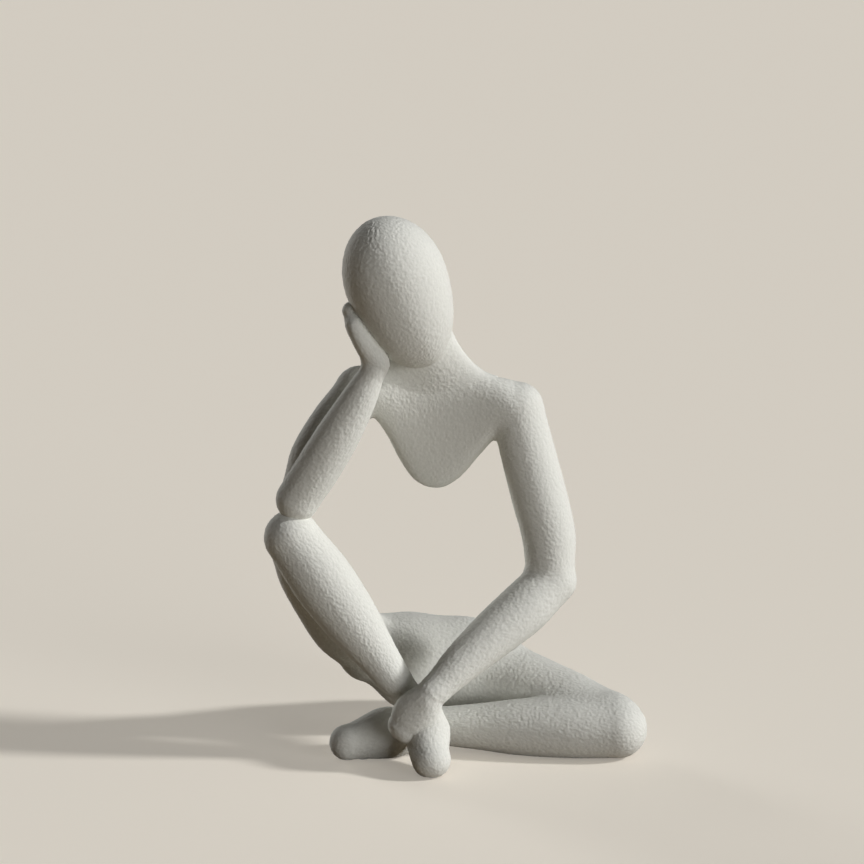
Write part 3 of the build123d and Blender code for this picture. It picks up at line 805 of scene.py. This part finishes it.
STEEL_ROUGHNESS = 0.35
STEEL_METALLIC = 1.0
RUBBER_ROUGHNESS = 0.8


class ORNAMENT_OT_fittings(bpy.types.Operator):
    """Finish the steel dowels and the rubber bumpers that come with the solids"""
    bl_idname = "ornament.fittings"
    bl_label = "Dowels and bumpers"

    def execute(self, context):
        settings = settings_of(context)
        steel = plain_material("Dowel steel", settings.steel_colour, STEEL_ROUGHNESS, STEEL_METALLIC)
        rubber = plain_material("Bumper rubber", settings.rubber_colour, RUBBER_ROUGHNESS)
        for ending, material in (("_dowel", steel), ("_bumper", rubber)):
            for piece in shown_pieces():
                if ending in piece.name:
                    piece.data.materials.clear()
                    piece.data.materials.append(material)
        return {"FINISHED"}


# Lamps: name, direction towards it, strength and apparent size in degrees
LAMPS = (
    ("key", (0.86, -0.10, 0.50), 2.25, 6.0),
    ("front fill", (0.66, -0.75, 0.06), 1.95, 36.0),
    ("rim fill", (-0.66, 0.74, 0.15), 1.30, 18.0),
)
WORLD_COLOUR = (1.0, 0.98, 0.95, 1.0)
WORLD_STRENGTH = 0.03

FLOOR_HALF = 12.0
FLOOR_ROUGHNESS = 0.95
FLOOR_GLOW = 0.36

# Camera: the lens on its sensor, in millimetres, and its place, in metres and radians
LENS = 111.0
SENSOR = 36.0
CAMERA_AIM = posed(-10.6, 0.0, 148.3)
CAMERA_DISTANCE = 1.2
CAMERA_TILT = math.radians(12.0)


def seen_directly(nodes, links):
    """Socket that is one for rays from the camera, mirrored rays and rays through glass, and nought for
    others."""
    path = nodes.new("ShaderNodeLightPath")
    socket = path.outputs["Is Camera Ray"]
    for other in ("Is Glossy Ray", "Is Transmission Ray"):
        larger = nodes.new("ShaderNodeMath")
        larger.operation = "MAXIMUM"
        links.new(socket, larger.inputs[0])
        links.new(path.outputs[other], larger.inputs[1])
        socket = larger.outputs[0]
    return socket


def pale_floor(settings):
    """Matt floor that takes the shadow: seen directly it is pale with a little glow, but the light that
    it returns to the ornament has the bounce colour."""
    material = plain_material("Floor", settings.floor_colour, FLOOR_ROUGHNESS)
    nodes, links = material.node_tree.nodes, material.node_tree.links
    surface = nodes["Principled BSDF"]
    surface.inputs["Specular IOR Level"].default_value = 0.0
    seen = seen_directly(nodes, links)
    shade = nodes.new("ShaderNodeMixRGB")
    shade.inputs["Color1"].default_value = (*settings.bounce_colour, 1.0)
    shade.inputs["Color2"].default_value = (*settings.floor_colour, 1.0)
    links.new(seen, shade.inputs["Fac"])
    links.new(shade.outputs["Color"], surface.inputs["Base Color"])
    glow = nodes.new("ShaderNodeMath")
    glow.operation = "MULTIPLY"
    glow.inputs[1].default_value = FLOOR_GLOW
    links.new(seen, glow.inputs[0])
    surface.inputs["Emission Color"].default_value = (*settings.floor_colour, 1.0)
    links.new(glow.outputs[0], surface.inputs["Emission Strength"])
    return material


def lay_floor(context):
    """A wide square floor under the ornament."""
    mesh = bpy.data.meshes.new("floor")
    corners = [(x * FLOOR_HALF, y * FLOOR_HALF, 0.0) for x, y in ((-1, -1), (1, -1), (1, 1), (-1, 1))]
    mesh.from_pydata(corners, [], [(0, 1, 2, 3)])
    mesh.materials.append(pale_floor(settings_of(context)))
    floor = bpy.data.objects.new("floor", mesh)
    context.scene.collection.objects.link(floor)
    floor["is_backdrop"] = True


def hang_lamps(context):
    """The faint light all round and the lamps."""
    world = bpy.data.worlds.new("Studio")
    context.scene.world = world
    world.use_nodes = True
    around = world.node_tree.nodes["Background"]
    around.inputs["Color"].default_value = WORLD_COLOUR
    around.inputs["Strength"].default_value = WORLD_STRENGTH
    for name, toward, strength, spread in LAMPS:
        lamp = bpy.data.lights.new(name, "SUN")
        lamp.energy = strength
        lamp.angle = math.radians(spread)
        holder = bpy.data.objects.new(name, lamp)
        holder.rotation_euler = Vector(toward).to_track_quat("Z", "Y").to_euler()
        context.scene.collection.objects.link(holder)


def set_camera(context):
    """The camera in front of the ornament, looking slightly down on it."""
    camera = bpy.data.cameras.new("camera")
    camera.lens = LENS
    camera.sensor_width = SENSOR
    holder = bpy.data.objects.new("camera", camera)
    away = Vector((0.0, -math.cos(CAMERA_TILT), math.sin(CAMERA_TILT)))
    holder.location = Vector(CAMERA_AIM * MILLIMETRE) + CAMERA_DISTANCE * away
    holder.rotation_euler = (math.pi / 2 - CAMERA_TILT, 0.0, 0.0)
    context.scene.collection.objects.link(holder)
    context.scene.camera = holder
    context.scene.view_settings.view_transform = "Standard"


class ORNAMENT_OT_stage(bpy.types.Operator):
    """Lay the floor and set the lamps and the camera"""
    bl_idname = "ornament.stage"
    bl_label = "Stage"

    def execute(self, context):
        lay_floor(context)
        hang_lamps(context)
        set_camera(context)
        return {"FINISHED"}


class ORNAMENT_PT_sidebar(bpy.types.Panel):
    """Settings and steps of the ornament"""
    bl_idname = "ORNAMENT_PT_sidebar"
    bl_label = "Thinker ornament"
    bl_space_type = "VIEW_3D"
    bl_region_type = "UI"
    bl_category = "Thinker"

    def draw(self, context):
        settings = settings_of(context)
        for name in ThinkerSettings.__annotations__:
            self.layout.prop(settings, name)
        for step in STEPS:
            self.layout.operator(step.bl_idname)


STEPS = (ORNAMENT_OT_head, ORNAMENT_OT_torso, ORNAMENT_OT_arms, ORNAMENT_OT_hands, ORNAMENT_OT_seat,
         ORNAMENT_OT_shins, ORNAMENT_OT_feet, ORNAMENT_OT_fittings, ORNAMENT_OT_stage)
CLASSES = (ThinkerSettings, *STEPS, ORNAMENT_PT_sidebar)


def register():
    """Adds the settings, the steps and the sidebar."""
    for each in CLASSES:
        bpy.utils.register_class(each)
    bpy.types.Scene.thinker = PointerProperty(type=ThinkerSettings)


def unregister():
    """Takes them away again."""
    del bpy.types.Scene.thinker
    for each in reversed(CLASSES):
        bpy.utils.unregister_class(each)


def main():
    """Runs the steps in order."""
    register()
    bpy.ops.ornament.head()
    bpy.ops.ornament.torso()
    bpy.ops.ornament.arms()
    bpy.ops.ornament.hands()
    bpy.ops.ornament.seat()
    bpy.ops.ornament.shins()
    bpy.ops.ornament.feet()
    bpy.ops.ornament.fittings()
    bpy.ops.ornament.stage()


if __name__ == "__main__":
    main()
